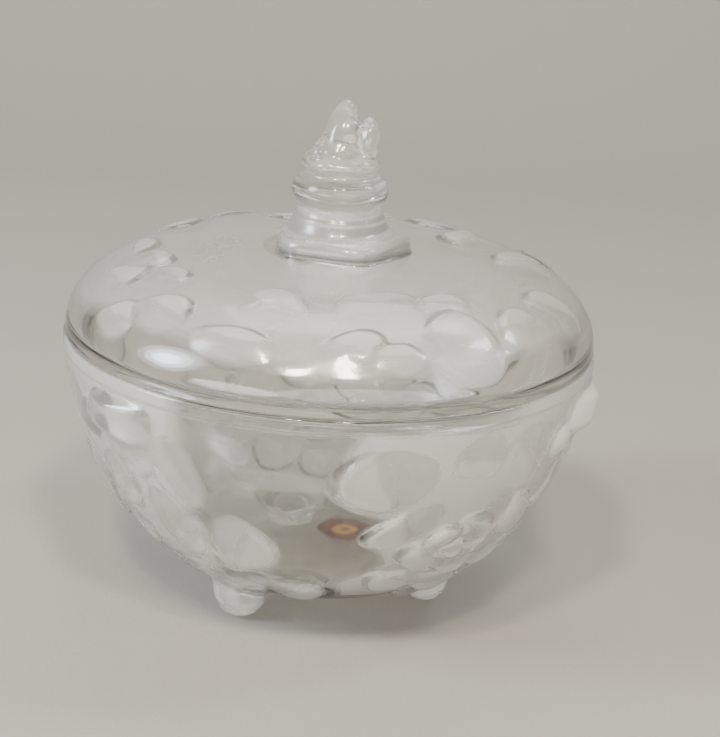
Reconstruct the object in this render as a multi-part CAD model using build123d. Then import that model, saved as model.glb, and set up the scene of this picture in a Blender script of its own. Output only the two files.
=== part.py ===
from build123d import *
import os
from math import asin, cos, pi, radians, sin, sqrt

# Covered pressed-glass candy dish: footed bowl, lift-off lid with a rosebud knob, foil label.
# Millimetres. The origin is the centre of the plane that the three toes stand on, +Z up.
# Angles are counted from the front (-Y) towards the right (+X).

# Bowl
BASE_FLAT_R = 24.0        # radius of the flat underside and of the flat floor
BASE_Z = 9.0              # underside of the bowl above the table
BELLY_Z = 84.0            # height where the wall stands upright
OUTER_RX, OUTER_RZ = 58.5, 75.0
INNER_RX, INNER_RZ = 54.5, 70.0
WALL_POWER = 1.6          # 2 would make each wall a quarter ellipse; less is closer to a cone
WALL_STEPS = 8
BAND_Z = 81.4             # lower edge of the mouth's raised band
BEAD_R = 83.0             # radius of the band
SEAT_Z = 86.0             # top of the bowl's rim, where the lid rests
RIM_ROUND = 0.8

# Feet
FOOT_R = 36.0             # distance of each toe from the axis
FOOT_BALL = 8.2
FOOT_BALL_Z = 7.2
FOOT_ANGLE = -42.0

# Lid
FLANGE_R = 82.5           # lid's edge, flush with the bowl's rim
SHOULDER_Z = 89.0
SHOULDER_C = 45.0         # radius at which the shoulder's ellipse is centred
SHOULDER_RX, SHOULDER_RZ = 37.5, 22.5
UNDER_C, UNDER_Z = 44.5, 88.5
UNDER_RX, UNDER_RZ = 33.0, 18.8
CROWN_ANGLE = 84.0        # where the shoulder's ellipse hands over to the shallow crown
SKIRT_OUT_R, SKIRT_IN_R = 77.6, 74.0
SKIRT_Z = 82.6            # lower edge of the ring that locates the lid in the mouth

# Knob
COLLAR_R, COLLAR_TOP = 21.4, 117.4
NECK_R, NECK_Z = 12.6, 124.5
RING_R, RING_Z, RING_H = 14.0, 132.0, 4.4
SEPAL_R, SEPAL_Z = 11.6, 139.5
TIP_Z = 160.0

# Relief
PETAL_THICK = 6.0         # depth of one petal's body, most of it inside the wall
PETAL_ROUND = 1.1
FOLD = 3                  # the bowl's spray of petals repeats three times around
LUG_ANGLE, LUG_Z = 72.0, 77.0
LUG_REACH = 86.8          # how far a lug stands out from the axis
LUG_BALL = 38.0           # radius of its rounded face
LUG_WIDE = 36.0

# Bowl petals of one spray: angle, height, half width, half height, tilt of the free edge and
# how far the petal stands out of the wall.
BOWL_PETALS = [
    (13.6, 65.5, 13.0, 10.8, 3.0, 1.5),
    (31.0, 71.0, 10.0, 8.0, 4.0, 1.2),
    (49.0, 66.0, 11.0, 10.0, 4.0, 1.6),
    (19.0, 48.0, 7.6, 7.0, 6.0, 1.6),
    (33.0, 49.0, 8.6, 7.6, 5.0, 1.9),
    (48.0, 47.0, 9.6, 9.0, 6.0, 2.2),
    (64.0, 50.0, 9.0, 9.6, 4.0, 2.2),
    (24.0, 33.0, 8.4, 8.0, 6.0, 2.0),
    (42.0, 32.0, 9.6, 8.4, 6.0, 2.6),
    (62.0, 33.0, 9.2, 8.6, 5.0, 2.8),
    (34.0, 19.5, 9.6, 6.6, 4.0, 2.0),
    (57.0, 20.5, 9.6, 7.0, 5.0, 2.8),
    (80.0, 24.0, 9.0, 7.4, 5.0, 2.2),
    (100.0, 40.0, 9.4, 10.0, 5.0, 1.2),
    (109.0, 21.0, 8.6, 6.2, 4.0, 1.3),
]

# Lid petals: angle, distance from the axis, half width, half length, tilt of the free edge.
LID_PETALS = [
    (-18.0, 56.0, 9.6, 8.0, 4.0),
    (17.0, 52.0, 9.6, 8.0, 4.0),
    (36.0, 63.0, 10.0, 9.0, 4.0),
    (-23.0, 73.0, 9.0, 6.0, 4.0),
    (4.0, 73.0, 11.0, 5.4, 4.0),
    (-46.0, 69.0, 10.0, 9.4, 4.0),
    (-79.0, 56.0, 10.4, 9.4, 4.0),
    (-62.0, 48.0, 8.6, 7.6, 3.0),
    (109.0, 52.0, 10.6, 9.6, 4.0),
    (79.0, 66.0, 10.6, 10.0, 5.0),
    (60.0, 52.0, 9.4, 8.0, 4.0),
    (138.0, 60.0, 10.0, 9.0, 4.0),
    (162.0, 49.0, 9.6, 8.4, 4.0),
    (186.0, 62.0, 10.4, 9.0, 4.0),
    (209.0, 50.0, 9.4, 8.4, 4.0),
    (232.0, 64.0, 10.4, 9.4, 4.0),
    (255.0, 49.0, 9.0, 8.0, 4.0),
]

# Label
LABEL_RX, LABEL_RY, LABEL_T = 9.6, 9.8, 0.15
LABEL_X, LABEL_Y = 8.8, 12.5


def arc(cx, cz, rx, rz, start, end):
    """Part of an ellipse in the XZ half plane."""
    return EllipticalCenterArc((cx, cz), rx, rz, start, arc_size=end - start)


def turned(edges):
    """Solid of revolution from a closed outline drawn as (radius, height)."""
    outline = Plane.XZ * make_face(edges)
    return revolve(outline, Axis.Z)


def point_on(angle, r, z):
    """Position at an angle from the front, a radius and a height."""
    a = radians(angle)
    return Vector(r * sin(a), -r * cos(a), z)


def wall(rx, rz, end_z):
    """A wall from its flat foot circle up to a height, and the point where it ends."""
    end = asin(((BELLY_Z - end_z) / rz) ** (WALL_POWER / 2))
    steps = [pi / 2 + (end - pi / 2) * k / WALL_STEPS for k in range(WALL_STEPS + 1)]
    points = [
        (BASE_FLAT_R + rx * cos(a), BELLY_Z - rz * sin(a) ** (2 / WALL_POWER)) for a in steps
    ]
    return Spline(points, tangents=[(1, 0), (0, 1)]), points[-1]


def bowl_surface(z):
    """Radius and outward slope of the bowl's outer wall at a height."""
    down = (BELLY_Z - z) / OUTER_RZ
    across = sqrt(1 - down**WALL_POWER)
    lean = OUTER_RX / OUTER_RZ * WALL_POWER / 2 * down ** (WALL_POWER - 1) / across
    return BASE_FLAT_R + OUTER_RX * across, Vector(1, 0, -lean).normalized()


def lid_surface(r):
    """Height and outward slope of the lid's outer face at a radius."""
    r_hand_over = SHOULDER_C + SHOULDER_RX * cos(radians(CROWN_ANGLE))
    across = (max(r, r_hand_over) - SHOULDER_C) / SHOULDER_RX
    up = sqrt(1 - across * across)
    normal = Vector(across / SHOULDER_RX, 0, up / SHOULDER_RZ).normalized()
    z = SHOULDER_Z + SHOULDER_RZ * up
    if r < r_hand_over:
        z += (r_hand_over - r) * normal.X / normal.Z
    return z, normal


def petal(angle, r, z, normal, half_w, half_h, tilt, lift):
    """One petal laid on a wall, tilted so that its upper edge stands free."""
    flat = extrude(Ellipse(half_w, half_h), amount=PETAL_THICK)
    body = fillet(flat.edges().group_by(Axis.Z)[-1], PETAL_ROUND)
    body = Pos(0, 0, lift - PETAL_THICK) * body
    a = radians(angle)
    outward = Vector(normal.X * sin(a), -normal.X * cos(a), normal.Z)
    side = Vector(cos(a), sin(a), 0)
    spot = Plane(origin=point_on(angle, r, z), x_dir=side, z_dir=outward)
    return spot * (Rot(X=tilt) * body)


def bowl_blank():
    """The bowl's outside, solid, before it is hollowed."""
    side, (end_r, end_z) = wall(OUTER_RX, OUTER_RZ, BAND_Z)
    rest = Polyline(
        (end_r, end_z),
        (BEAD_R, end_z + 0.5),
        (BEAD_R, SEAT_Z - RIM_ROUND),
        (BEAD_R - RIM_ROUND, SEAT_Z),
        (0, SEAT_Z),
        (0, BASE_Z),
        (BASE_FLAT_R, BASE_Z),
    )
    return turned([side, rest])


def bowl_cavity():
    """The space inside the bowl, with an eased mouth."""
    side, (mouth_r, _) = wall(INNER_RX, INNER_RZ, BELLY_Z)
    rest = Polyline(
        (mouth_r, BELLY_Z),
        (mouth_r, SEAT_Z - RIM_ROUND),
        (mouth_r + RIM_ROUND, SEAT_Z),
        (mouth_r + RIM_ROUND, SEAT_Z + 5),
        (0, SEAT_Z + 5),
        (0, BELLY_Z - INNER_RZ),
        (BASE_FLAT_R, BELLY_Z - INNER_RZ),
    )
    return turned([side, rest])


def foot(angle):
    """A rounded toe with a small flat pad on the table."""
    ball = Pos(*point_on(angle, FOOT_R, FOOT_BALL_Z)) * Sphere(FOOT_BALL)
    room = Box(200, 200, 60, align=(Align.CENTER, Align.CENTER, Align.MIN))
    return ball & room


def lug(angle):
    """A large petal under the rim that swells out of the wall and ends in a ledge."""
    swell = Pos(*point_on(angle, LUG_REACH - LUG_BALL, LUG_Z)) * Sphere(LUG_BALL)
    outer_half = Pos(*point_on(angle, LUG_REACH, 0)) * Box(
        2 * LUG_WIDE, 2 * LUG_WIDE, BAND_Z, align=(Align.CENTER, Align.CENTER, Align.MIN)
    )
    return swell & outer_half


def make_bowl():
    raised = []
    for turn in range(FOLD):
        step = 360.0 / FOLD * turn
        raised.append(foot(FOOT_ANGLE + step))
        raised.append(lug(LUG_ANGLE + step))
        for angle, z, half_w, half_h, tilt, lift in BOWL_PETALS:
            r, normal = bowl_surface(z)
            raised.append(petal(angle + step, r, z, normal, half_w, half_h, tilt, lift))
    return bowl_blank() + raised - bowl_cavity()


def lid_shell():
    """Flange, locating ring, shoulder and crown, with the underside hollowed."""
    hand = radians(CROWN_ANGLE)
    crown_r = SHOULDER_C + SHOULDER_RX * cos(hand)
    crown_z = SHOULDER_Z + SHOULDER_RZ * sin(hand)
    slope = SHOULDER_RZ * cos(hand) / (SHOULDER_RX * sin(hand))
    outside = [
        arc(SHOULDER_C, SHOULDER_Z, SHOULDER_RX, SHOULDER_RZ, 0, CROWN_ANGLE),
        Polyline(
            (crown_r, crown_z),
            (0, crown_z + slope * crown_r),
            (0, SKIRT_Z),
            (SKIRT_OUT_R - 0.6, SKIRT_Z),
            (SKIRT_OUT_R, SKIRT_Z + 0.6),
            (SKIRT_OUT_R, SEAT_Z),
            (FLANGE_R - 0.6, SEAT_Z),
            (FLANGE_R, SEAT_Z + 0.6),
            (FLANGE_R, SHOULDER_Z),
        ),
    ]
    return turned(outside)


def lid_cavity():
    """The space under the dome."""
    hand = radians(CROWN_ANGLE)
    crown_r = UNDER_C + UNDER_RX * cos(hand)
    crown_z = UNDER_Z + UNDER_RZ * sin(hand)
    slope = UNDER_RZ * cos(hand) / (UNDER_RX * sin(hand))
    outline = [
        arc(UNDER_C, UNDER_Z, UNDER_RX, UNDER_RZ, 0, CROWN_ANGLE),
        Polyline(
            (crown_r, crown_z),
            (0, crown_z + slope * crown_r),
            (0, SKIRT_Z - 5),
            (SKIRT_IN_R, SKIRT_Z - 5),
            (SKIRT_IN_R, SKIRT_Z),
            (UNDER_C + UNDER_RX, UNDER_Z),
        ),
    ]
    return turned(outline)


def knob_stem():
    """Collar, flared neck, ring and the round base of the bud."""
    ring_low = RING_Z - RING_H / 2
    ring_top = RING_Z + RING_H / 2
    outline = [
        Polyline((0, COLLAR_TOP - 8), (COLLAR_R, COLLAR_TOP - 8), (COLLAR_R, COLLAR_TOP - 2)),
        Spline(
            [(COLLAR_R, COLLAR_TOP - 2), (COLLAR_R - 1.7, COLLAR_TOP), (NECK_R + 2.4, 120.4),
             (NECK_R, NECK_Z), (NECK_R + 0.2, ring_low)],
            tangents=[(0, 1), (0, 1)],
        ),
        ThreePointArc((NECK_R + 0.2, ring_low), (RING_R, RING_Z), (NECK_R + 0.2, ring_top)),
        Polyline((NECK_R + 0.2, ring_top), (SEPAL_R - 1.2, ring_top + 0.8)),
        ThreePointArc(
            (SEPAL_R - 1.2, ring_top + 0.8), (SEPAL_R, SEPAL_Z), (SEPAL_R - 4.2, SEPAL_Z + 6.5)
        ),
        Polyline((SEPAL_R - 4.2, SEPAL_Z + 6.5), (0, SEPAL_Z + 8.5), (0, COLLAR_TOP - 8)),
    ]
    return turned(outline)


def bud():
    """Folded petals at the tip: a tall one on the left and a shorter one on the right."""
    tall = Pos(-3.0, 0, TIP_Z - 12.5) * scale(Sphere(1), by=(6.0, 6.6, 12.5))
    short = Pos(4.6, -0.8, TIP_Z - 13.5) * scale(Sphere(1), by=(5.2, 6.2, 9.6))
    back = Pos(0.4, 3.2, TIP_Z - 13.8) * scale(Sphere(1), by=(6.8, 5.0, 9.2))
    return [tall, short, back]


def make_lid():
    shell = lid_shell()
    raised = []
    for number, (angle, r, half_w, half_h, tilt) in enumerate(LID_PETALS):
        z, normal = lid_surface(r)
        lift = 0.9 + 0.17 * (number % 3)
        raised.append(petal(angle, r, z, normal, half_w, half_h, -tilt, lift))
    return shell + raised - lid_cavity() + [knob_stem()] + bud()


def make_label():
    low = BASE_Z - LABEL_T
    return extrude(Pos(LABEL_X, LABEL_Y, low) * Ellipse(LABEL_RX, LABEL_RY), amount=LABEL_T)


def main():
    os.makedirs("parts", exist_ok=True)
    pieces = {"bowl": make_bowl(), "lid": make_lid(), "label": make_label()}
    for name, shape in pieces.items():
        shape.label = name
        export_step(shape, f"parts/{name}.step")


main()
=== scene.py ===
"""Covered pressed-glass candy dish: visual model, materials, light and camera."""
import math

import bpy
import numpy as np
from mathutils import Matrix, Vector


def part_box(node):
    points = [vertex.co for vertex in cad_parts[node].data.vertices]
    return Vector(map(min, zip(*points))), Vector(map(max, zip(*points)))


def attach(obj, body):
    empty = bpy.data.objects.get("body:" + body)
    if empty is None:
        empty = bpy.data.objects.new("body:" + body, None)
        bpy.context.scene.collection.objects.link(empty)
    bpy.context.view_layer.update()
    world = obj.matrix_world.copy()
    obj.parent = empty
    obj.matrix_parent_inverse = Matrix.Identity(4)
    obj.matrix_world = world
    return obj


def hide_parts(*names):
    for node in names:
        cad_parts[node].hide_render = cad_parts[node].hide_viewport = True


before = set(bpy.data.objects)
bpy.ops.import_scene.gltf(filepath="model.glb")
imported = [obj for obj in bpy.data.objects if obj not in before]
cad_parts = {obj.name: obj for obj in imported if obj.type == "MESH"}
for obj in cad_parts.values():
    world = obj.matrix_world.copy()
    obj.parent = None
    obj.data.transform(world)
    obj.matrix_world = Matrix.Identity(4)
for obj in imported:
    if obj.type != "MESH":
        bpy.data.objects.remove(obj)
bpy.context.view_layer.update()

MM = 0.001
FINE, HALF, COARSE = 640, 320, 160      # vertices in one ring, by how much detail it carries


# ---------------------------------------------------------------- small maths helpers

def smooth(edge0, edge1, x):
    t = np.clip((x - edge0) / (edge1 - edge0), 0.0, 1.0)
    return t * t * (3.0 - 2.0 * t)


def wrap(deg):
    """Angle difference in degrees, between -180 and 180."""
    return (deg + 180.0) % 360.0 - 180.0


def melt(a, b, k):
    """The smaller of two values, with the change from one to the other rounded off."""
    h = np.clip(0.5 + 0.5 * (b - a) / k, 0.0, 1.0)
    return b * (1.0 - h) + a * h - k * h * (1.0 - h)


def ellipse_arc(cr, cz, rr, rz, a0, a1, n):
    """Points (r, z) of an ellipse arc, spaced evenly along its length."""
    a = np.radians(np.linspace(a0, a1, 400))
    r = cr + rr * np.cos(a)
    z = cz + rz * np.sin(a)
    return resample(np.column_stack([r, z]), n)


def resample(points, n):
    points = np.asarray(points, float)
    step = np.hypot(*np.diff(points, axis=0).T)
    s = np.concatenate([[0.0], np.cumsum(step)])
    t = np.linspace(0.0, s[-1], n)
    return np.column_stack([np.interp(t, s, points[:, k]) for k in (0, 1)])


def curve(points, n, turns=3):
    """A rounded line through given points, by corner cutting, with n even steps."""
    p = np.asarray(points, float)
    for _ in range(turns):
        q = [p[0]]
        for a, b in zip(p[:-1], p[1:]):
            q.append(a * 0.75 + b * 0.25)
            q.append(a * 0.25 + b * 0.75)
        q.append(p[-1])
        p = np.array(q)
    return resample(p, n)


def join(*parts):
    """One profile from parts that share their end points."""
    out = [parts[0]]
    for part in parts[1:]:
        out.append(part[1:])
    return np.vstack(out)


def profile_normals(profile):
    """Unit normals of a profile, to the right of its direction of travel."""
    d = np.gradient(profile, axis=0)
    n = np.column_stack([d[:, 1], -d[:, 0]])
    return n / np.maximum(np.linalg.norm(n, axis=1, keepdims=True), 1e-9)


def arc_length(profile):
    step = np.hypot(*np.diff(profile, axis=0).T)
    return np.concatenate([[0.0], np.cumsum(step)])


# ---------------------------------------------------------------- petals as a height field

def petal(angle, z, half_w, half_l, turn=0.0, free=-90.0, low=0.2, high=1.8, rim=0.25,
          edge=0.20, soft=0.75, frost=1.0, bare=1.0, line=0.0, wave=0.04, lobes=3, phase=0.0):
    """Settings of one pressed petal. Lengths in mm, directions in degrees: 0 points right and
    90 points up the wall. The petal rises towards its free side and melts away on the other,
    and grows more satin, so whiter, towards that side: a painted glow of light on its lower lip.
    frost is how satin it is, bare how far the satin is polished off along its free edge, and
    line how strongly that edge is made the whitest satin instead, a painted glow of light
    focused through the steep edge."""
    return dict(angle=angle, z=z, half_w=half_w, half_l=half_l, turn=turn, free=free, low=low,
                high=high, rim=rim, edge=edge, soft=soft, frost=frost, bare=bare, line=line,
                wave=wave, lobes=lobes, phase=phase)


def press(field, th, s, r_here, s_here, p):
    """Lay one petal over the height, satin and polish fields."""
    height, frost, shine = field
    u = np.radians(wrap(th - p["angle"])) * r_here
    v = s - s_here
    c, d = math.cos(math.radians(p["turn"])), math.sin(math.radians(p["turn"]))
    x = (u * c + v * d) / p["half_w"]
    y = (-u * d + v * c) / p["half_l"]
    rho = np.hypot(x, y)
    rho = rho * (1.0 + p["wave"] * np.cos(p["lobes"] * np.arctan2(y, x) + p["phase"]))
    way = math.radians(p["free"])
    toward = (u * math.cos(way) + v * math.sin(way)) / np.maximum(np.hypot(u, v), 1e-6)
    behind = smooth(0.25, -0.75, toward)
    border = p["edge"] + (p["soft"] - p["edge"]) * behind
    round_off = 1.0 - np.minimum(rho, 1.0) ** (0.9 / border)
    mask = round_off ** (0.62 + 0.6 * behind)
    slope = 0.5 + 0.5 * toward * np.minimum(rho, 1.0)
    body = p["low"] + (p["high"] - p["low"]) * slope ** 1.3
    ridge = np.exp(-((rho - 1.0 + border + 0.04) / 0.08) ** 2) * smooth(-0.2, 0.6, toward)
    body = body + p["rim"] * ridge
    height[:] = height * (1.0 - mask) + (0.3 * height + body) * mask
    cover = smooth(1.0, 0.94 - 0.3 * behind, rho)
    # Painted glow: satin, and so whiteness, grows towards the free side, standing in for light
    # caught on the petal's lower lip.
    satin_and_painted_glow = p["frost"] * (0.6 + 0.4 * smooth(0.3, 0.85, slope))
    frost[:] = frost * (1.0 - cover) + satin_and_painted_glow * cover
    seam = np.exp(-((rho - 0.93) / (0.08 + 0.05 * p["line"])) ** 2)
    bright = seam * smooth(0.0, 0.6, toward) * p["bare"]
    # Painted glow: where line is set, the edge goes to the whitest satin, standing in for light
    # focused through the steep edge.
    seam_satin_and_glow = 1.3 * p["line"] * seam * smooth(-0.6, 0.1, toward)
    frost[:] = np.maximum(frost * (1.0 - 0.9 * bright), seam_satin_and_glow)
    shine[:] = np.maximum(shine * (1.0 - cover), bright)


def swell(height, th, s, r_here, s_here, angle, half_w, half_l, rise):
    """A soft mound in the wall under a group of petals."""
    u = np.radians(wrap(th - angle)) * r_here / half_w
    v = (s - s_here) / half_l
    height += rise * np.exp(-(u * u + v * v) * 1.6)


# ---------------------------------------------------------------- meshes of revolution

def bridge(near, far):
    """Faces between two rings of vertex numbers, where one may have a multiple of the other."""
    faces = []
    if len(near) == len(far):
        a, b = np.roll(near, -1), np.roll(far, -1)
        return np.column_stack([near, a, b, far]).tolist()
    fine, coarse, forward = (near, far, True) if len(near) > len(far) else (far, near, False)
    k = len(fine) // len(coarse)
    for j in range(len(coarse)):
        left, right = coarse[j], coarse[(j + 1) % len(coarse)]
        group = [fine[(k * j + i) % len(fine)] for i in range(k + 1)]
        found = [(group[i], group[i + 1], left if i < k // 2 else right) for i in range(k)]
        found.append((group[k // 2], right, left))
        faces += [list(map(int, f if forward else f[::-1])) for f in found]
    return faces


def ring_mesh(name, line, parts):
    """Closed solid of revolution. The line starts and ends on the axis. Each part is the row
    where it stops, its number of vertices in a ring, and a function that turns angles,
    distance, radius, height, normal and row number into points and the two finish values."""
    s, n = arc_length(line), profile_normals(line)
    verts, frost, shine, rings = [], [], [], []
    start, used = 1, 0
    for stop, around, shape in parts:
        count = stop - start
        th = np.tile(np.linspace(0.0, 360.0, around, endpoint=False), (count, 1))
        wide = [np.repeat(v[start:stop, None], around, axis=1) for v in (s, *line.T)]
        normal = np.repeat(n[start:stop, None, :], around, axis=1)
        row = np.arange(start, stop)[:, None]
        points, satin, polish = shape(th, *wide, normal, row)
        verts.append(points.reshape(-1, 3))
        frost.append(satin.ravel())
        shine.append(polish.ravel())
        rings += [used + around * k + np.arange(around) for k in range(count)]
        used += count * around
        start = stop
    first, last = verts[0][rings[0]], verts[-1][-parts[-1][1]:]
    poles = [[0.0, 0.0, first[:, 2].mean()], [last[:, 0].mean(), last[:, 1].mean(),
                                              last[:, 2].mean()]]
    faces = []
    for near, far in zip(rings[:-1], rings[1:]):
        faces += bridge(near, far)
    for j, k in zip(rings[0], np.roll(rings[0], -1)):
        faces.append([used, int(k), int(j)])
    for j, k in zip(rings[-1], np.roll(rings[-1], -1)):
        faces.append([used + 1, int(j), int(k)])
    mesh = bpy.data.meshes.new(name)
    mesh.from_pydata((np.vstack(verts + [poles]) * MM).tolist(), [], faces)
    mesh.update()
    for label, values in (("satin", frost), ("shine", shine)):
        layer = mesh.attributes.new(label, "FLOAT", "POINT")
        every = np.concatenate(values + [[values[0][0], values[-1][-1]]])
        layer.data.foreach_set("value", every.astype(np.float32))
    mesh.shade_smooth()
    piece = bpy.data.objects.new(name, mesh)
    bpy.context.scene.collection.objects.link(piece)
    return piece


def to_points(th, r, z):
    a = np.radians(th)
    return np.stack([r * np.sin(a), -r * np.cos(a), z], axis=-1)


def plain(th, s, r, z, n, row):
    """A smooth stretch, such as the bowl's inside."""
    return to_points(th, r, z), np.zeros_like(th), np.zeros_like(th)


# ---------------------------------------------------------------- bowl

FOLD = 3                               # the sprays, lugs and toes repeat three times around
SECTOR = 360.0 / FOLD
BASE_R, WALL_TOP = 24.0, 84.0          # the flat base, and the height where the wall is upright
OUT_R, OUT_Z = 58.5, 75.0              # width and height of the outer wall's curve
IN_R, IN_Z = 54.5, 70.0
WALL_POWER = 1.6
BAND_Z = 81.4                          # the raised band round the mouth starts here
FOOT_R, FOOT_AT, FOOT_SPAN, FOOT_BALL = 36.0, -42.0, 12.4, 8.2
FOOT_WRAP = 114.0                      # degrees of a ball that one toe shows
LUG_AT, LUG_TOP = 72.0, 5.6

# One spray: lower layers come first, so that later petals lie over them.
SPRAY = (
    petal(88.0, 62.0, 10.0, 13.0, turn=10, free=-150, high=1.2, low=0.4, bare=0.4),
    petal(74.0, 66.0, 12.0, 12.0, turn=0, free=-60, high=1.5, bare=0.3),
    petal(49.0, 69.0, 13.0, 12.0, turn=-10, free=-140, high=1.1, low=0.3, bare=0.2),
    petal(34.0, 72.5, 10.0, 8.5, turn=12, free=-100, high=1.2, low=0.3, bare=0.3),
    petal(66.0, 51.0, 11.0, 11.0, turn=20, free=-50, high=2.2, low=0.5),
    petal(84.0, 40.0, 10.0, 11.0, turn=0, free=-40, high=1.6, low=0.3),
    petal(78.0, 23.0, 10.0, 7.5, turn=-10, free=-60, high=2.6, low=0.6),
    petal(60.0, 20.0, 9.0, 6.4, turn=0, free=-80, high=2.9, low=0.6),
    petal(40.0, 17.5, 9.4, 5.6, turn=10, free=-90, high=2.2, low=0.4),
    petal(22.0, 29.0, 9.5, 9.0, turn=35, free=-120, high=2.4, low=0.5, wave=0.05),
    petal(61.0, 33.0, 10.5, 9.5, turn=15, free=-35, high=2.8, low=0.6),
    petal(38.0, 26.0, 11.5, 9.0, turn=-15, free=-95, high=3.4, low=0.8, wave=0.07),
    petal(48.0, 47.0, 14.0, 10.0, turn=-28, free=-20, high=3.0, low=0.8, wave=0.06),
    petal(20.0, 50.5, 14.5, 6.6, turn=27, free=-160, high=2.6, low=0.5, wave=0.05, phase=1.0),
    petal(46.0, 36.5, 9.6, 8.0, turn=-25, free=-45, high=3.9, low=1.2, wave=0.05),
    petal(28.0, 40.0, 11.0, 7.6, turn=22, free=-130, high=3.5, low=1.0, wave=0.06, phase=2.0),
    petal(36.0, 36.0, 7.6, 6.8, turn=0, free=-80, high=4.2, low=1.8, wave=0.05),
    petal(38.5, 46.0, 7.4, 5.8, turn=-30, free=40, high=3.8, low=1.6, soft=0.5),
    petal(30.0, 45.0, 6.8, 4.2, turn=25, free=120, high=3.6, low=1.8, soft=0.4, edge=0.26),
    petal(33.5, 41.5, 4.4, 4.0, turn=10, free=-90, high=4.3, low=2.6, soft=0.5, edge=0.3),
    petal(14.0, 67.0, 17.0, 11.6, turn=4, free=-158, low=0.5, high=1.3, rim=1.25, wave=0.012,
          edge=0.17, soft=0.5),
    petal(-36.5, 40.0, 8.5, 19.0, turn=24, free=-40, high=1.2, low=0.3, wave=0.05, bare=0.4),
    petal(-31.0, 18.0, 13.0, 6.0, turn=20, free=-70, high=1.0, low=0.3, bare=0.2),
    petal(-9.0, 21.5, 12.5, 8.5, turn=-20, free=-40, high=1.6, low=0.3, wave=0.08, bare=0.3),
    petal(-20.5, 38.5, 11.2, 15.0, turn=-22, free=-20, high=1.4, low=0.4, wave=0.12, phase=2.6,
          bare=0.4),
)


RELIEF = (1.0, 1.2, 0.6)               # each spray's depth, polished bright edges, satin, and satin seams made whitest as a painted glow of focused light
POLISH = (1.0, 0.2, 0.3)
SATIN = (1.0, 0.5, 0.85)
SEAM_GLOW = (0.0, 1.0, 0.0)


def wall_curve(width, rise, end_z, n):
    """A wall from its flat foot circle up to a height, evenly divided."""
    end = math.asin(((WALL_TOP - end_z) / rise) ** (WALL_POWER / 2.0))
    a = np.linspace(math.pi / 2.0, end, 600)
    r = BASE_R + width * np.cos(a)
    return resample(np.column_stack([r, WALL_TOP - rise * np.sin(a) ** (2.0 / WALL_POWER)]), n)


def wall_radius(z):
    return BASE_R + OUT_R * math.sqrt(1.0 - ((WALL_TOP - z) / OUT_Z) ** WALL_POWER)


def bowl_profile():
    """The bowl's outline, the row where its wall starts as a shape's arrays count it, from the
    first row off the axis, and the row where it turns in."""
    base = np.column_stack([np.linspace(0.0, BASE_R, 5), np.full(5, WALL_TOP - OUT_Z)])
    side = wall_curve(OUT_R, OUT_Z, BAND_Z, 118)
    r, z = side[-1]
    band = curve([(r, z), (r - 0.2, z + 0.2), (r + 0.3, z + 0.45), (83.0, 82.5), (83.0, 84.9),
                  (82.9, 86.0), (81.6, 86.02)], 11)
    lip = curve([(81.6, 86.02), (80.2, 86.02), (79.0, 85.95), (78.5, 85.1), (78.5, 84.0)], 8)
    inside = wall_curve(IN_R, IN_Z, WALL_TOP, 38)[::-1]
    floor = np.column_stack([np.linspace(BASE_R, 0.0, 4), np.full(4, WALL_TOP - IN_Z)])
    line = join(base, side, band, lip, inside, floor)
    inside_row = len(base) + len(side) - 2 + len(band)
    return line, len(base) - 2, inside_row


def haze(th, z, step):
    """Satin that covers one sector except for its clear window."""
    side = wrap(th - step)
    start = 4.0 + 9.0 * smooth(60.0, 50.0, z) * smooth(24.0, 34.0, z) + 1.5 * np.sin(z * 0.4)
    spray = smooth(start, start + 4.0, side) * smooth(92.0, 86.0, side)
    low = 10.5 + 5.0 * smooth(22.0, 34.0, np.abs(side - 78.0))
    spray = spray * smooth(low, low + 4.0, z)
    top = smooth(81.4, 79.2, z - 0.06 * np.abs(side - 40.0))
    return 0.90 * spray * np.maximum(top, smooth(36.0, 46.0, side))


def shape_wall(th, s, r, z, n, row):
    """The outer wall with its sprays, lugs and toes."""
    height, frost, shine = np.zeros_like(th), np.zeros_like(th), np.zeros_like(th)
    field = (height, frost, shine)
    on_wall = row >= WALL_ROW

    def at(mid_z):
        return float(np.interp(mid_z, z[WALL_ROW:, 0], s[WALL_ROW:, 0]))

    for number in range(FOLD):
        step = SECTOR * number
        for angle, mid_z, rise, half in ((40, 32, 1.2, 24), (36, 70, 0.3, 20)):
            swell(height, th, s, wall_radius(mid_z), at(mid_z), angle + step, half, half * 0.8,
                  rise)
        frost[:] = np.maximum(frost, haze(th, z, step))
    for number in range(FOLD):
        rng = np.random.default_rng(40 + number)
        for one in SPRAY:
            p = dict(one, angle=one["angle"] + SECTOR * number)
            if number:
                p["turn"] += rng.uniform(-10, 10)
                p["half_w"] *= rng.uniform(0.94, 1.06)
            p["high"] *= RELIEF[number]
            p["bare"] *= POLISH[number]
            p["frost"] *= SATIN[number]
            # The back spray's petals get seams whitened as a painted glow of focused light.
            p["line"] = SEAM_GLOW[number] if one["angle"] > 0.0 else SEAM_GLOW[number - 1]
            press(field, th, s, wall_radius(p["z"]), at(p["z"]), p)
    keep = on_wall * smooth(24.5, 31.0, r) * smooth(BAND_Z + 0.2, BAND_Z - 2.2, z)
    height *= keep
    lug, clear = lugs(th, z)
    lug *= smooth(BAND_Z + 0.3, BAND_Z - 3.4, z) * on_wall
    on_lug = smooth(0.3, 1.3, lug)
    outward = lug + height * n[..., 0] * (1.0 - on_lug)
    frost *= on_wall * (1.0 - on_lug * clear)
    frost[:] = np.maximum(frost, on_lug * (1.25 - 0.7 * clear))
    shine *= on_wall * (1.0 - on_lug)
    points = to_points(th, r + outward, z + height * n[..., 1] * (1.0 - on_lug))
    return feet(points, th, z, on_wall, frost), frost, shine


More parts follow.
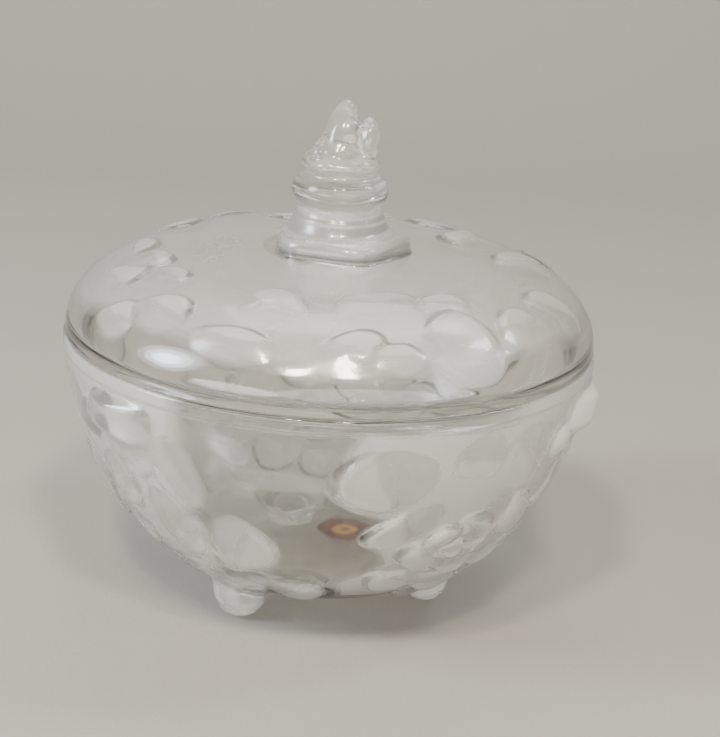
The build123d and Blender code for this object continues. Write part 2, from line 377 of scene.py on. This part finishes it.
def lugs(th, z):
    """Cut-glass lugs under the rim: how far they stand out, and where they are clear. Two flat
    facets meet in a slanting ridge, with a steep ledge below and a small lump beside them."""
    height, clear = np.zeros_like(th), np.zeros_like(th)
    for number in range(FOLD):
        angle = LUG_AT - SECTOR + SECTOR * number
        u = np.radians(wrap(th - angle)) * 83.0
        v = z - 75.6
        across = u * 0.78 - v * 0.62
        facet = melt(LUG_TOP - 0.15 * across, LUG_TOP + 0.2 + 0.45 * across, 0.5)
        ledge = 0.8 * (v + 12.0 - 0.02 * (u - 2.0) ** 2)
        side = 0.26 * (18.5 - u)
        block = melt(melt(facet, ledge, 1.4), side, 1.4)
        lump = 3.0 - 3.2 * np.hypot((u + 17.0) / 8.0, (v + 7.5) / 7.0) ** 2
        here = np.abs(u) < 40.0
        height = np.maximum(height, np.where(here, np.maximum(block, lump), 0.0))
        clear = np.maximum(clear, here * (number != 1))
    return height, clear


def feet(points, th, z, on_wall, frost):
    """Draw the wall down into three rounded toes."""
    for number in range(FOLD):
        a = math.radians(FOOT_AT + SECTOR * number)
        mid = np.array([FOOT_R * math.sin(a), -FOOT_R * math.cos(a)])
        away = points[..., :2] - mid
        dist = np.hypot(away[..., 0], away[..., 1])
        rho = np.clip(dist / FOOT_SPAN, 0.0, 1.0)
        here = on_wall & (rho < 1.0) & (z < 40.0)
        phi = np.radians(rho * FOOT_WRAP)
        spin = np.arctan2(away[..., 1], away[..., 0]) - math.atan2(mid[1], mid[0])
        wide = FOOT_BALL * np.sin(phi) * (1.0 + 0.07 * np.cos(2 * spin + math.pi) * np.sin(phi))
        blend = smooth(0.80, 1.0, rho)
        reach = wide * (1.0 - blend) + dist * blend
        drop = (1.0 - np.cos(phi)) / (1.0 - math.cos(math.radians(FOOT_WRAP)))
        depth = points[..., 2] * drop
        depth = np.maximum(depth - 0.45 * (1.0 - blend), 0.0) + 0.01 * rho
        unit = away / np.maximum(dist, 1e-6)[..., None]
        moved = np.concatenate([mid + unit * reach[..., None], depth[..., None]], -1)
        points = np.where(here[..., None], moved, points)
        root = (1.3 if number == 2 else 0.5) * np.exp(-((rho - 0.88) / 0.12) ** 2)
        flank = (0.95 if number == 2 else 0.42) * smooth(0.12, 0.45, rho)
        frost[:] = np.where(here, np.maximum(frost * smooth(0.25, 0.62, rho), flank), frost)
        frost[:] = np.where(here, np.maximum(frost, root), frost)
    return points


bowl_line, WALL_ROW, INSIDE_ROW = bowl_profile()
bowl = ring_mesh("bowl_glass", bowl_line, (
    (INSIDE_ROW, FINE, shape_wall), (len(bowl_line) - 1, HALF, plain)))
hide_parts("bowl")
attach(bowl, "bowl")


# ---------------------------------------------------------------- lid

SHOULDER_C, SHOULDER_Z = 45.0, 89.0
SHOULDER_R, SHOULDER_H = 37.3, 22.5
UNDER_C, UNDER_Z, UNDER_R, UNDER_H = 44.5, 88.5, 33.0, 18.8
CROWN = 84.0
SEAT = 86.12                           # underside of the lid's edge, just above the bowl's rim
COLLAR_R, COLLAR_X, KNOB_X = 20.2, 2.2, 1.0     # the collar and knob sit a little off the middle
BALL_R, BALL_Z = 11.8, 136.6           # the ball and bud above this ring are one traced form
BUD_C = (0.6, 0.0, 141.0)              # every point of that form can be seen from here
BUD_ROWS = 64
TRACE_STEPS, TRACE_PACE = 60, 0.7      # steps of the trace, and the share of each gap it takes
TRACE_FROM, TRACE_TO = 26.0, 4.0       # where it starts, and the least distance it may reach
TIP_TOP = 159.95
BUD_SATIN = 0.3


def top_petal(x, y, half_w, half_l, **more):
    """A petal on the lid, placed by its distance right of and behind the knob."""
    return petal(math.degrees(math.atan2(x, -y)), math.hypot(x, y), half_w, half_l, **more)


LID_PETALS = (
    top_petal(-63.0, 4.0, 12.0, 9.0, turn=10, high=1.2),
    top_petal(-66.0, -24.0, 10.0, 13.0, turn=-5, high=1.0, low=0.2),
    top_petal(-55.5, -15.5, 8.5, 8.0, turn=-10, high=1.9, low=0.5),
    top_petal(-49.0, -30.0, 9.0, 6.0, turn=20, high=1.0),
    top_petal(-62.0, -46.0, 9.0, 8.0, turn=12, high=1.3, low=0.2, wave=0.07),
    top_petal(-48.5, -52.0, 11.0, 8.6, turn=4, high=2.0, low=0.3, free=-80, wave=0.06),
    top_petal(-16.6, -55.5, 10.0, 10.5, turn=0, high=1.9, free=-85, wave=0.05, phase=3.1),
    top_petal(14.5, -53.5, 14.5, 9.5, turn=2, high=1.9, free=-88, wave=0.06, lobes=4),
    top_petal(33.0, -48.0, 9.0, 8.0, turn=-15, high=1.4, free=-70),
    top_petal(-27.5, -70.0, 13.5, 6.6, turn=-4, high=2.1, low=0.2, free=-85, wave=0.05),
    top_petal(5.0, -74.0, 13.5, 6.4, turn=26, high=1.9, free=-60, wave=0.05),
    top_petal(20.0, -73.5, 8.0, 6.0, turn=-10, high=1.0),
    top_petal(38.0, -63.5, 12.5, 15.0, turn=-6, high=2.0, low=0.5, free=-70, wave=0.03,
              soft=0.35),
    top_petal(56.0, -46.0, 10.0, 9.0, turn=0, high=1.3),
    top_petal(66.0, -30.0, 12.0, 11.0, turn=0, high=1.9, free=-40),
    top_petal(60.0, 2.0, 13.0, 11.0, turn=0, high=2.2, free=-30, low=0.6),
    top_petal(45.0, 24.0, 13.0, 11.0, turn=10, high=2.0, free=-40, low=0.5),
    top_petal(68.0, 28.0, 11.0, 9.0, turn=10, high=1.6),
    top_petal(33.0, 49.0, 11.0, 9.0, turn=-10, high=1.8),
    top_petal(12.0, 64.0, 13.0, 8.0, turn=10, high=1.9),
    top_petal(-14.0, 47.0, 10.0, 9.0, turn=0, high=1.8),
    top_petal(-38.0, 60.0, 12.0, 8.0, turn=-15, high=1.9),
    top_petal(-52.0, 34.0, 11.0, 9.0, turn=10, high=1.8),
    top_petal(-12.0, 74.0, 10.0, 6.0, turn=10, high=1.5),
)


def lid_profile():
    """The lid's outline, and the rows where its skirt ends, its stem starts and its ball starts."""
    hand = math.radians(CROWN)
    in_r = UNDER_C + UNDER_R * math.cos(hand)
    in_z = UNDER_Z + UNDER_H * math.sin(hand)
    in_slope = UNDER_H * math.cos(hand) / (UNDER_R * math.sin(hand))
    out_r = SHOULDER_C + SHOULDER_R * math.cos(hand)
    out_z = SHOULDER_Z + SHOULDER_H * math.sin(hand)
    slope = SHOULDER_H * math.cos(hand) / (SHOULDER_R * math.sin(hand))
    under = resample([(0.0, in_z + in_slope * in_r), (in_r, in_z)], 8)
    dome = ellipse_arc(UNDER_C, UNDER_Z, UNDER_R, UNDER_H, CROWN, 0.0, 24)
    skirt = curve([(UNDER_C + UNDER_R, UNDER_Z), (75.0, 85.0), (74.0, 82.6), (75.8, 82.55),
                   (77.6, 82.6), (77.6, 85.4), (77.65, SEAT), (80.0, SEAT),
                   (82.2, SEAT)], 22)
    start = math.degrees(math.asin(0.6 / SHOULDER_H))
    shoulder = ellipse_arc(SHOULDER_C, SHOULDER_Z, SHOULDER_R, SHOULDER_H, start, CROWN, 56)
    lip = curve([(82.2, SEAT), (82.5, SEAT + 0.05), (82.5, 87.2), (82.35, 88.6), shoulder[0]], 6)
    crown_in = COLLAR_R + 0.8
    crown = resample([(out_r, out_z), (crown_in, out_z + slope * (out_r - crown_in))], 26)
    top = crown[-1][1]
    stem = curve([(crown_in, top), (COLLAR_R + 0.1, top + 0.1), (COLLAR_R + 0.3, top + 2.4),
                  (COLLAR_R - 0.3, top + 4.6), (COLLAR_R - 2.0, top + 5.6), (17.6, 118.6),
                  (15.8, 120.0), (14.9, 121.6), (14.3, 123.0), (14.2, 124.0), (13.4, 124.8),
                  (13.0, 126.0), (12.6, 127.8), (13.2, 128.2), (14.4, 129.6),
                  (14.9, 131.6), (14.7, 133.6), (13.7, 135.4), (12.3, 136.1),
                  (BALL_R, BALL_Z)], 56)
    bud = np.column_stack([np.linspace(BALL_R, 0.0, BUD_ROWS),
                           np.linspace(BALL_Z, 155.0, BUD_ROWS)])
    line = join(under, dome, skirt, lip, shoulder, crown, stem, bud)
    skirt_end = len(under) + len(dome) + len(skirt) - 3
    stem_from = skirt_end + len(lip) + len(shoulder) + len(crown) - 3
    return line, skirt_end, stem_from, stem_from + len(stem) - 1


def hump(th, centre, width):
    """A smooth hill around one angle, 1 at its middle."""
    return smooth(width, 0.0, np.abs(wrap(th - centre)))


def shape_dome(th, s, r, z, n, row):
    """The lid's outside with its petals, satin down to a wavy line on the shoulder."""
    height, frost, shine = np.zeros_like(th), np.zeros_like(th), np.zeros_like(th)
    a = np.radians(th)
    edge = 77.6 + 1.2 * np.sin(3 * a + 0.6) + 0.9 * np.sin(5 * a + 2.0)
    edge = edge + 2.5 * hump(th, 84.0, 44.0) + 1.5 * hump(th, -86.0, 30.0)
    frost += 0.66 * smooth(edge + 3.0, edge - 3.0, r) * smooth(COLLAR_R + 0.8, COLLAR_R + 2.4, r)
    line_r, line_s = r[:, 0][::-1], s[:, 0][::-1]
    for p in LID_PETALS:
        mid_s = float(np.interp(p["z"], line_r, line_s))
        round_lip = dict(p, free=-p["free"], edge=1.5 * p["edge"], high=1.2 * p["high"])
        press((height, frost, shine), th, s, p["z"], mid_s, round_lip)
    keep = smooth(COLLAR_R + 1.0, COLLAR_R + 3.5, r) * smooth(92.0, 95.5, z)
    height, shine, frost = height * keep, shine * keep, frost * smooth(88.0, 90.0, z)
    return to_points(th, r + height * n[..., 0], z + height * n[..., 1]), frost, shine


def shape_stem(th, s, r, z, n, row):
    """Collar with five soft lobes, satin flare, clear neck and ring."""
    a = np.radians(th)
    lobe = 1.1 * np.cos(5 * a - math.pi / 2.0) * smooth(17.0, 20.4, r)
    frost = 0.70 * smooth(113.0, 116.5, z) * smooth(128.5, 126.5, z) * np.ones_like(th)
    points = to_points(th, r + lobe, z)
    points[..., 0] += COLLAR_X * smooth(112.2, 113.2, z)
    points[..., 0] += (KNOB_X - COLLAR_X) * smooth(117.0, 121.0, z)
    return points, frost, np.zeros_like(th)


# ---- the ball and bud, as the outer skin of a few soft forms melted together

def leaf(p, centre, radii, lean=0.0, tip=0.0):
    """Distance to an egg shape leaning sideways and backwards, in degrees."""
    q = p - np.array(centre)
    a, b = math.radians(lean), math.radians(tip)
    x = q[..., 0] * math.cos(a) - q[..., 2] * math.sin(a)
    z = q[..., 0] * math.sin(a) + q[..., 2] * math.cos(a)
    y = q[..., 1] * math.cos(b) - z * math.sin(b)
    z = q[..., 1] * math.sin(b) + z * math.cos(b)
    w = np.stack([x, y, z], -1) / np.array(radii)
    k0 = np.linalg.norm(w, axis=-1)
    k1 = np.linalg.norm(w / np.array(radii), axis=-1)
    return k0 * (k0 - 1.0) / np.maximum(k1, 1e-6)


def bud_distance(p):
    """Ball with lobes, a dome on it, and three petals folded round the tip."""
    a = np.arctan2(p[..., 1], p[..., 0])
    out = leaf(p, (0.0, 0.0, 139.9), (12.0, 12.0, 5.2)) + 0.35 * np.cos(5 * a + 1.0)
    out = melt(out, leaf(p, (-0.8, -0.4, 143.0), (8.4, 8.8, 6.2)), 1.2)
    out = melt(out, leaf(p, (-1.2, 2.4, 149.4), (4.4, 6.0, 10.4), lean=17, tip=-6), 1.6)
    out = melt(out, leaf(p, (0.8, -3.8, 148.0), (5.4, 3.2, 7.2), lean=2, tip=12), 1.6)
    out = melt(out, leaf(p, (7.8, -1.0, 147.0), (3.4, 6.2, 7.8), lean=3), 1.6)
    out = melt(out, leaf(p, (3.0, 0.2, 148.0), (3.8, 4.4, 6.0)), 1.6)
    return melt(out, leaf(p, (-6.4, -4.6, 143.4), (3.2, 3.6, 3.2)), 1.0)


def shape_bud(th, s, r, z, n, row):
    """Look in from all round towards one inner point and stop at the skin."""
    q = (row - BALL_ROW) / (BUD_ROWS - 1.0) + np.zeros_like(th)
    low = math.atan2(BALL_Z - BUD_C[2], BALL_R)
    up = low + (math.pi / 2.0 - low) * q
    a = np.radians(th)
    way = np.stack([np.cos(up) * np.sin(a), -np.cos(up) * np.cos(a), np.sin(up)], -1)
    reach = np.full(th.shape, TRACE_FROM)
    for _ in range(TRACE_STEPS):
        gap = bud_distance(np.array(BUD_C) + way * reach[..., None])
        reach = np.maximum(reach - TRACE_PACE * gap, TRACE_TO)
    points = np.array(BUD_C) + way * reach[..., None]
    join_at = smooth(0.0, 0.09, q)[..., None]
    start = to_points(th, r, z)
    points = start * (1.0 - join_at) + points * join_at
    points[..., 0] += KNOB_X
    points[..., 2] = np.minimum(points[..., 2], TIP_TOP)
    return points, np.full_like(th, BUD_SATIN), np.zeros_like(th)


lid_line, SKIRT_END, STEM_ROW, BALL_ROW = lid_profile()
lid = ring_mesh("lid_glass", lid_line, (
    (SKIRT_END, HALF, plain), (STEM_ROW, FINE, shape_dome), (BALL_ROW, COARSE, shape_stem),
    (len(lid_line) - 1, HALF, shape_bud)))
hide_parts("lid")
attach(lid, "lid")


# ---------------------------------------------------------------- label

GLUE = 0.00008                         # the foil bites into the floor, so no air lies between


def make_label():
    """A thin oval of foil with a pressed border, stuck under the floor."""
    low, high = (np.array(corner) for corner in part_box("label"))
    mid = (low + high) / 2.0
    half = (high - low) / 2.0
    ring = [(0.0, 1.0), (0.25, 1.0), (0.48, 1.0), (0.52, 0.72), (0.56, 1.0), (0.84, 1.0),
            (0.88, 0.7), (0.92, 1.0), (0.985, 1.0), (1.0, 0.55), (0.985, 0.0), (0.5, 0.0),
            (0.0, 0.0)]
    around = 96
    points, faces = [], []
    for share, up in ring[1:-1]:
        for k in range(around):
            a = 2.0 * math.pi * k / around
            points.append((mid[0] + half[0] * share * math.cos(a),
                           mid[1] + half[1] * share * math.sin(a),
                           low[2] + GLUE + (high[2] - low[2]) * (0.04 + 0.9 * up)))
    for row in range(len(ring) - 3):
        for k in range(around):
            m = (k + 1) % around
            faces.append((row * around + k, (row + 1) * around + k,
                          (row + 1) * around + m, row * around + m))
    top, bottom = len(points), len(points) + 1
    points.append((mid[0], mid[1], low[2] + GLUE + (high[2] - low[2]) * 0.94))
    points.append((mid[0], mid[1], low[2] + GLUE + (high[2] - low[2]) * 0.04))
    end = (len(ring) - 3) * around
    for k in range(around):
        m = (k + 1) % around
        faces.append((top, k, m))
        faces.append((bottom, end + m, end + k))
    mesh = bpy.data.meshes.new("foil_label")
    mesh.from_pydata(points, [], faces)
    mesh.update()
    piece = bpy.data.objects.new("foil_label", mesh)
    bpy.context.scene.collection.objects.link(piece)
    return piece, mid, half


label, label_mid, label_half = make_label()
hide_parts("label")
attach(label, "bowl")


# ---------------------------------------------------------------- materials

def start_material(name):
    mat = bpy.data.materials.new(name)
    mat.use_nodes = True
    nodes, links = mat.node_tree.nodes, mat.node_tree.links
    return mat, nodes, links, nodes["Principled BSDF"]


def noise(nodes, links, coord, scale, detail=2.0, rough=0.5):
    node = nodes.new("ShaderNodeTexNoise")
    node.inputs["Scale"].default_value = scale
    node.inputs["Detail"].default_value = detail
    node.inputs["Roughness"].default_value = rough
    links.new(coord, node.inputs["Vector"])
    return node.outputs["Fac"]


def ranged(nodes, links, value, low, high, from_low=0.0, from_high=1.0):
    node = nodes.new("ShaderNodeMapRange")
    node.inputs["From Min"].default_value = from_low
    node.inputs["From Max"].default_value = from_high
    node.inputs["To Min"].default_value = low
    node.inputs["To Max"].default_value = high
    links.new(value, node.inputs["Value"])
    return node.outputs["Result"]


def maths(nodes, links, kind, a, b):
    node = nodes.new("ShaderNodeMath")
    node.operation = kind
    for slot, value in enumerate((a, b)):
        if isinstance(value, (int, float)):
            node.inputs[slot].default_value = value
        else:
            links.new(value, node.inputs[slot])
    return node.outputs[0]


def bump(nodes, links, height, distance, strength, before=None):
    node = nodes.new("ShaderNodeBump")
    node.inputs["Strength"].default_value = strength
    node.inputs["Distance"].default_value = distance
    links.new(height, node.inputs["Height"])
    if before is not None:
        links.new(before, node.inputs["Normal"])
    return node.outputs["Normal"]


def glass_material(name, tint, through, rough_low, rough_high, satin):
    """Pressed glass: slow waves left by the mould, fine etching where it is satin, light wear."""
    mat, nodes, links, shader = start_material(name)
    coord = nodes.new("ShaderNodeTexCoord").outputs["Object"]
    shader.inputs["Base Color"].default_value = (*tint, 1.0)
    shader.inputs["IOR"].default_value = 1.5
    shader.inputs["Transmission Weight"].default_value = through
    shader.inputs["Specular IOR Level"].default_value = 0.75
    waves = noise(nodes, links, coord, 95.0, 1.5)
    smudge = noise(nodes, links, coord, 38.0, 4.0, 0.6)
    if satin:
        level = nodes.new("ShaderNodeAttribute")
        level.attribute_name = "satin"
        polish = nodes.new("ShaderNodeAttribute")
        polish.attribute_name = "shine"
        etched = ranged(nodes, links, level.outputs["Fac"], rough_low, rough_high, 0.1, 1.0)
        cloudy = ranged(nodes, links, smudge, 0.86, 1.12, 0.3, 0.7)
        etched = maths(nodes, links, "MULTIPLY", etched, cloudy)
        worn = ranged(nodes, links, polish.outputs["Fac"], 1.0, 0.42, 0.2, 1.0)
        links.new(maths(nodes, links, "MULTIPLY", etched, worn), shader.inputs["Roughness"])
        grain = noise(nodes, links, coord, 2600.0, 2.0)
        first = bump(nodes, links, grain, 0.00006, 0.25)
        shader.inputs["Coat Weight"].default_value = 0.6
        shader.inputs["Coat Roughness"].default_value = 0.09
    else:
        smear = ranged(nodes, links, smudge, rough_low, rough_high, 0.45, 0.8)
        links.new(smear, shader.inputs["Roughness"])
        first = None
    links.new(bump(nodes, links, waves, 0.0008, 0.07, first), shader.inputs["Normal"])
    return mat


def oval(nodes, links, coord, mid, half):
    """Distance from the label's centre, 1 on its edge."""
    place = nodes.new("ShaderNodeMapping")
    place.vector_type = "TEXTURE"
    place.inputs["Location"].default_value = tuple(mid)
    place.inputs["Scale"].default_value = (half[0], half[1], 1.0)
    links.new(coord, place.inputs["Vector"])
    flat = nodes.new("ShaderNodeVectorMath")
    flat.operation = "MULTIPLY"
    flat.inputs[1].default_value = (1.0, 1.0, 0.0)
    links.new(place.outputs["Vector"], flat.inputs[0])
    size = nodes.new("ShaderNodeVectorMath")
    size.operation = "LENGTH"
    links.new(flat.outputs["Vector"], size.inputs[0])
    return size.outputs["Value"]


def foil_material():
    """Dark red foil with a plain gold oval and a darker pressed border."""
    mat, nodes, links, shader = start_material("foil_print")
    coord = nodes.new("ShaderNodeTexCoord").outputs["Object"]
    away = oval(nodes, links, coord, label_mid, label_half)
    bands = nodes.new("ShaderNodeValToRGB")
    bands.color_ramp.interpolation = "LINEAR"
    red, gold = (0.20, 0.003, 0.003, 1), (0.95, 0.50, 0.08, 1)
    dark, deep = (0.30, 0.06, 0.012, 1), (0.11, 0.002, 0.002, 1)
    stops = ((0.0, dark), (0.13, dark), (0.17, gold), (0.43, gold), (0.49, red), (0.86, red),
             (0.90, deep), (0.95, deep), (1.0, red))
    ramp = bands.color_ramp.elements
    ramp[0].position, ramp[0].color = stops[0]
    ramp[1].position, ramp[1].color = stops[-1]
    for position, color in stops[1:-1]:
        ramp.new(position).color = color
    links.new(away, bands.inputs["Fac"])
    speck = noise(nodes, links, coord, 900.0, 3.0)
    mix = nodes.new("ShaderNodeMix")
    mix.data_type = "RGBA"
    mix.blend_type = "MULTIPLY"
    mix.inputs["Factor"].default_value = 0.35
    links.new(bands.outputs["Color"], mix.inputs["A"])
    shade = nodes.new("ShaderNodeCombineColor")
    tone = ranged(nodes, links, speck, 0.55, 1.25, 0.3, 0.7)
    for channel in ("Red", "Green", "Blue"):
        links.new(tone, shade.inputs[channel])
    links.new(shade.outputs["Color"], mix.inputs["B"])
    links.new(mix.outputs["Result"], shader.inputs["Base Color"])
    shader.inputs["Metallic"].default_value = 0.1
    shader.inputs["Specular IOR Level"].default_value = 0.25
    links.new(ranged(nodes, links, speck, 0.28, 0.45), shader.inputs["Roughness"])
    links.new(bump(nodes, links, speck, 0.0001, 0.3), shader.inputs["Normal"])
    return mat


def floor_material():
    mat, nodes, links, shader = start_material("studio_floor")
    coord = nodes.new("ShaderNodeTexCoord").outputs["Object"]
    shader.inputs["Base Color"].default_value = (0.35, 0.327, 0.292, 1.0)
    shader.inputs["Roughness"].default_value = 0.85
    grain = noise(nodes, links, coord, 700.0, 3.0)
    links.new(bump(nodes, links, grain, 0.0004, 0.25), shader.inputs["Normal"])
    return mat


def paint(piece, materials, attribute=None, levels=()):
    for mat in materials:
        piece.data.materials.append(mat)
    if attribute is None:
        return
    mesh = piece.data
    values = np.zeros(len(mesh.vertices), np.float32)
    mesh.attributes[attribute].data.foreach_get("value", values)
    starts = np.zeros(len(mesh.polygons), np.int32)
    totals = np.zeros(len(mesh.polygons), np.int32)
    corners = np.zeros(len(mesh.loops), np.int32)
    mesh.polygons.foreach_get("loop_start", starts)
    mesh.polygons.foreach_get("loop_total", totals)
    mesh.loops.foreach_get("vertex_index", corners)
    sums = np.add.reduceat(values[corners], starts) / totals
    mesh.polygons.foreach_set("material_index", np.digitize(sums, levels).astype(np.int32))
    mesh.update()


clear = glass_material("glass_clear", (0.985, 0.982, 0.955), 1.0, 0.04, 0.12, False)
# Satin value from which each glass is used, and how much light it lets through. The last, whitest
# step also carries the painted glow along the seams.
STEPS = ((0.12, 0.94), (0.36, 0.87), (0.58, 0.80), (0.82, 0.69), (1.04, 0.45))
glass = [clear]
for number, (_, through) in enumerate(STEPS):
    glass.append(glass_material("glass_satin_%d" % (number + 1), (0.97, 0.963, 0.928), through,
                                0.08, 0.36, True))
foil = foil_material()
paint(bowl, glass, "satin", [value for value, _ in STEPS])
paint(lid, glass, "satin", [value for value, _ in STEPS])
paint(label, (foil,))


# ---------------------------------------------------------------- stage, light and camera

def make_floor():
    """A plain sheet that curves up far behind the dish."""
    back, high, bend, wide = 1.1, 1.6, 0.5, 3.0
    line = [(-3.0, 0.0), (back - bend, 0.0)]
    for k in range(1, 17):
        a = math.radians(90.0 * k / 16)
        line.append((back - bend + bend * math.sin(a), bend - bend * math.cos(a)))
    line.append((back, high))
    points, faces = [], []
    for y, z in line:
        points += [(-wide, y, z), (wide, y, z)]
    for k in range(len(line) - 1):
        faces.append((2 * k, 2 * k + 1, 2 * k + 3, 2 * k + 2))
    mesh = bpy.data.meshes.new("studio_sweep")
    mesh.from_pydata(points, [], faces)
    mesh.shade_smooth()
    sweep = bpy.data.objects.new("studio_sweep", mesh)
    bpy.context.scene.collection.objects.link(sweep)
    sweep.data.materials.append(floor_material())


def area_light(name, place_at, aim, size, power, color, shape="RECTANGLE"):
    lamp = bpy.data.lights.new(name, "AREA")
    lamp.shape = shape
    lamp.size, lamp.size_y = size
    lamp.energy = power
    lamp.color = color
    obj = bpy.data.objects.new(name, lamp)
    obj.location = place_at
    obj.rotation_euler = (Vector(aim) - Vector(place_at)).to_track_quat("-Z", "Y").to_euler()
    bpy.context.scene.collection.objects.link(obj)


def make_world():
    world = bpy.data.worlds.new("studio")
    world.use_nodes = True
    nodes, links = world.node_tree.nodes, world.node_tree.links
    coord = nodes.new("ShaderNodeTexCoord").outputs["Generated"]
    split = nodes.new("ShaderNodeSeparateXYZ")
    links.new(coord, split.inputs["Vector"])
    ramp = nodes.new("ShaderNodeValToRGB")
    ramp.color_ramp.elements[0].color = (0.16, 0.152, 0.14, 1)
    ramp.color_ramp.elements[0].position = 0.25
    ramp.color_ramp.elements[1].color = (0.85, 0.84, 0.82, 1)
    ramp.color_ramp.elements[1].position = 0.95
    ramp.color_ramp.elements.new(0.52).color = (0.42, 0.405, 0.38, 1)
    up = nodes.new("ShaderNodeMapRange")
    up.inputs["From Min"].default_value = -1.0
    links.new(split.outputs["Z"], up.inputs["Value"])
    links.new(up.outputs["Result"], ramp.inputs["Fac"])
    links.new(ramp.outputs["Color"], nodes["Background"].inputs["Color"])
    nodes["Background"].inputs["Strength"].default_value = 0.5
    bpy.context.scene.world = world


def make_camera():
    """Slightly above the dish and in front of it, with a small roll."""
    aim = Vector((0.0, 0.0, 0.078))
    away, rise, roll = 0.600, math.radians(18.0), math.radians(3.0)
    spot = aim + Vector((0.0, -math.cos(rise), math.sin(rise))) * away
    forward = (aim - spot).normalized()
    right = forward.cross(Vector((0, 0, 1))).normalized()
    up = right.cross(forward)
    tilted_up = up * math.cos(roll) - right * math.sin(roll)
    side = forward.cross(tilted_up)
    cam = bpy.data.cameras.new("camera")
    cam.lens = 92.8
    cam.sensor_width = 36.0
    cam.shift_x = 0.043
    cam.shift_y = -0.018
    cam.clip_start = 0.01
    obj = bpy.data.objects.new("camera", cam)
    turn = Matrix((side, tilted_up, -forward)).transposed().to_4x4()
    obj.matrix_world = Matrix.Translation(spot) @ turn
    bpy.context.scene.collection.objects.link(obj)
    bpy.context.scene.camera = obj


DISH = (0.0, 0.0, 0.08)
make_floor()
make_world()
# The window's glow fades outwards in three steps, with the smallest and brightest in front.
WINDOW = ((1.0, 1.5, 7.0), (0.98, 1.05, 7.0), (0.96, 0.6, 5.0))   # distance, size and power
for number, (near, grow, power) in enumerate(WINDOW):
    area_light("window_left_%d" % (number + 1), (-1.16 * near, -0.33 * near, 0.68 * near), DISH,
               (0.45 * grow, 0.6 * grow), power, (0.78, 0.87, 1.0), "ELLIPSE")
area_light("window_right", (0.85, 0.12, 1.0), DISH, (0.22, 0.32), 4.5, (0.86, 0.92, 1.0))
area_light("behind", (0.10, 0.55, 1.15), DISH, (0.9, 0.5), 4.5, (1.0, 0.975, 0.93))
area_light("front", (0.30, -1.35, 0.34), DISH, (1.7, 0.8), 11.0, (1.0, 0.97, 0.92), "ELLIPSE")
area_light("fill", (-0.75, -1.0, 0.20), DISH, (0.9, 0.36), 6.0, (1.0, 0.97, 0.92), "ELLIPSE")
area_light("lamp_left", (-0.22, -0.74, 1.02), DISH, (0.11, 0.18), 9.0, (1.0, 0.90, 0.72))
area_light("lamp_right", (0.14, -0.76, 1.02), DISH, (0.11, 0.18), 9.0, (1.0, 0.90, 0.72))
make_camera()
